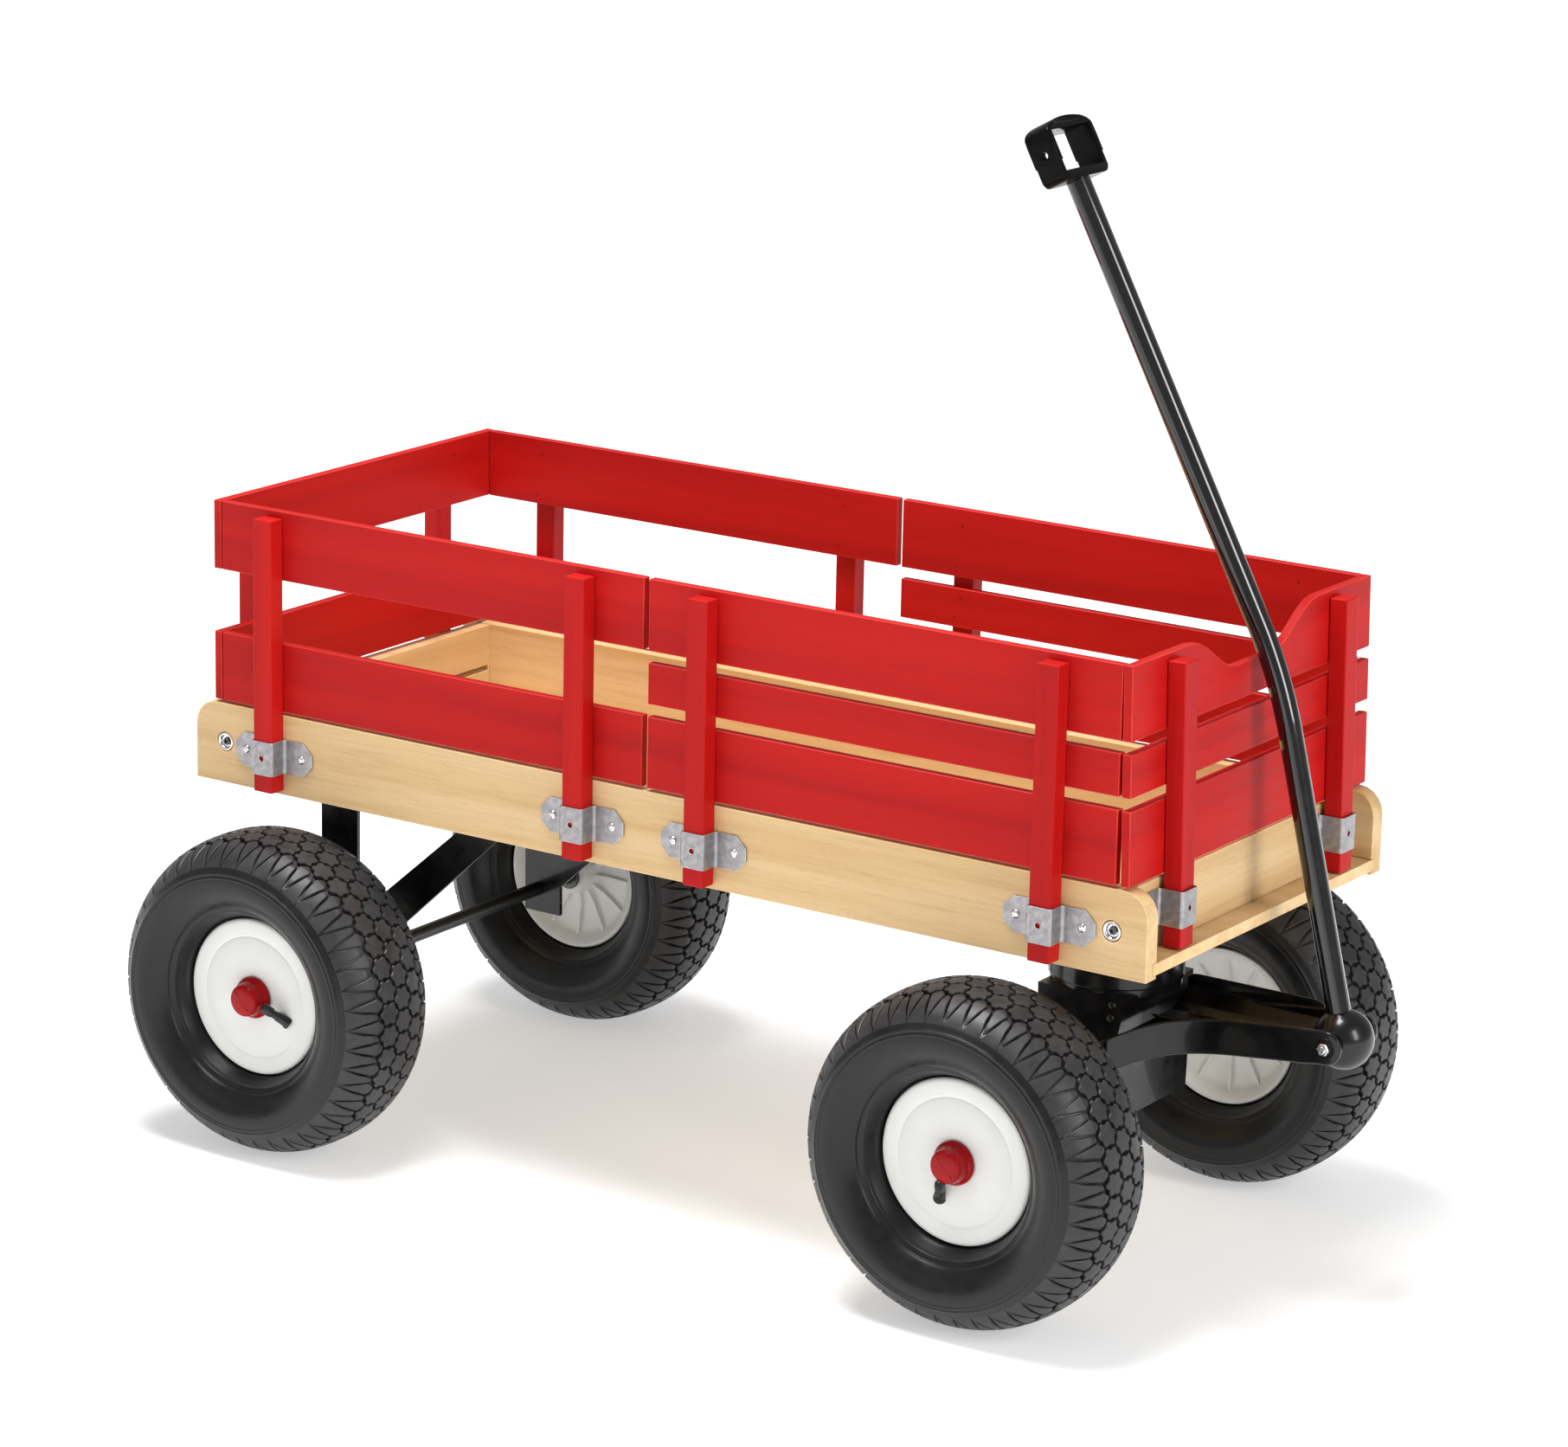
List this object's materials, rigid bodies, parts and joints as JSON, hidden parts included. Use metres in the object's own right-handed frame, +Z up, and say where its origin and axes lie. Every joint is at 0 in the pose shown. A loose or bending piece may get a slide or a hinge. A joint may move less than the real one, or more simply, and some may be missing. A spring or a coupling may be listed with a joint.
{
  "type": "pull wagon",
  "caption": "Child's stake-side pull wagon: wooden tray with lift-off rail panels, air-tyred wheels, steered front axle and a bent tubular handle that leans back on the front panel.",
  "frame": {"origin": "on the ground, under the middle of the whole wagon's bounding box", "axes": "+X forward to the handle end, +Y to the wagon's left, +Z up"},
  "size_m": [1.0312, 0.5496, 0.8952],
  "materials": {
    "natural_wood": "clear varnished birch and maple",
    "red_painted_wood": "satin red paint over wood",
    "zinc_strap": "zinc plated strip",
    "black_enamelled_steel": "gloss black enamel",
    "black_rubber": "moulded rubber",
    "white_plastic": "moulded white plastic",
    "black_plastic": "moulded black plastic",
    "red_plastic": "moulded red plastic hub cap"
  },
  "bodies": {
    "cart": {"deck": "natural_wood", "side_board_right": "natural_wood", "side_board_left": "natural_wood", "front_end_board": "natural_wood", "rear_end_board": "natural_wood", "rear_axle_bracket": "black_enamelled_steel", "rear_axle": "black_enamelled_steel", "front_bolster": "black_enamelled_steel", "stake_clip_left_1": "zinc_strap", "stake_clip_left_2": "zinc_strap", "stake_clip_left_3": "zinc_strap", "stake_clip_left_4": "zinc_strap", "stake_clip_right_1": "zinc_strap", "stake_clip_right_2": "zinc_strap", "stake_clip_right_3": "zinc_strap", "stake_clip_right_4": "zinc_strap", "stake_clip_front_1": "zinc_strap", "stake_clip_front_2": "zinc_strap", "stake_clip_rear_1": "zinc_strap", "stake_clip_rear_2": "zinc_strap", "front_end_rail_upper": "red_painted_wood", "front_end_rail_middle": "red_painted_wood", "front_end_rail_lower": "red_painted_wood", "front_end_stake_1": "red_painted_wood", "front_end_stake_2": "red_painted_wood"},
    "steering": {"steering_fork": "black_enamelled_steel", "front_axle": "black_enamelled_steel", "tongue": "black_enamelled_steel"},
    "handle": {"handle_tube": "black_enamelled_steel", "handle_grip": "black_plastic"},
    "right_front_panel": {"right_front_rail_upper": "red_painted_wood", "right_front_rail_middle": "red_painted_wood", "right_front_rail_lower": "red_painted_wood", "right_front_stake_1": "red_painted_wood", "right_front_stake_2": "red_painted_wood"},
    "right_rear_panel": {"right_rear_rail_upper": "red_painted_wood", "right_rear_rail_lower": "red_painted_wood", "right_rear_stake_1": "red_painted_wood", "right_rear_stake_2": "red_painted_wood"},
    "left_front_panel": {"left_front_rail_upper": "red_painted_wood", "left_front_rail_middle": "red_painted_wood", "left_front_rail_lower": "red_painted_wood", "left_front_stake_1": "red_painted_wood", "left_front_stake_2": "red_painted_wood"},
    "left_rear_panel": {"left_rear_rail_upper": "red_painted_wood", "left_rear_rail_lower": "red_painted_wood", "left_rear_stake_1": "red_painted_wood", "left_rear_stake_2": "red_painted_wood"},
    "rear_end_panel": {"rear_end_rail_upper": "red_painted_wood", "rear_end_rail_lower": "red_painted_wood", "rear_end_stake_1": "red_painted_wood", "rear_end_stake_2": "red_painted_wood"},
    "front_right_wheel": {"front_right_tyre": "black_rubber", "front_right_rim": "white_plastic"},
    "front_left_wheel": {"front_left_tyre": "black_rubber", "front_left_rim": "white_plastic"},
    "rear_right_wheel": {"rear_right_tyre": "black_rubber", "rear_right_rim": "white_plastic"},
    "rear_left_wheel": {"rear_left_tyre": "black_rubber", "rear_left_rim": "white_plastic"}
  },
  "joints": [
    {"name": "steering_turn", "type": "hinge", "parent": "cart", "child": "steering", "pos_m": [0.28985, 0, 0.2277], "axis": [0, 0, 1], "range_deg": [-12, 12]},
    {"name": "handle_swing", "type": "hinge", "parent": "steering", "child": "handle", "pos_m": [0.49185, 0, 0.213], "axis": [0, 1, 0], "range_deg": [0, 115]},
    {"name": "front_right_roll", "type": "hinge", "parent": "steering", "child": "front_right_wheel", "pos_m": [0.28985, -0.204, 0.135], "axis": [0, 1, 0], "continuous": true},
    {"name": "front_left_roll", "type": "hinge", "parent": "steering", "child": "front_left_wheel", "pos_m": [0.28985, 0.204, 0.135], "axis": [0, 1, 0], "continuous": true},
    {"name": "rear_right_roll", "type": "hinge", "parent": "cart", "child": "rear_right_wheel", "pos_m": [-0.38065, -0.219, 0.135], "axis": [0, 1, 0], "continuous": true},
    {"name": "rear_left_roll", "type": "hinge", "parent": "cart", "child": "rear_left_wheel", "pos_m": [-0.38065, 0.219, 0.135], "axis": [0, 1, 0], "continuous": true},
    {"name": "right_front_lift", "type": "slide", "parent": "cart", "child": "right_front_panel", "axis": [0, 0, 1], "range_m": [0, 0.1]},
    {"name": "right_rear_lift", "type": "slide", "parent": "cart", "child": "right_rear_panel", "axis": [0, 0, 1], "range_m": [0, 0.1]},
    {"name": "left_front_lift", "type": "slide", "parent": "cart", "child": "left_front_panel", "axis": [0, 0, 1], "range_m": [0, 0.1]},
    {"name": "left_rear_lift", "type": "slide", "parent": "cart", "child": "left_rear_panel", "axis": [0, 0, 1], "range_m": [0, 0.1]},
    {"name": "rear_end_lift", "type": "slide", "parent": "cart", "child": "rear_end_panel", "axis": [0, 0, 1], "range_m": [0, 0.1]}
  ]
}
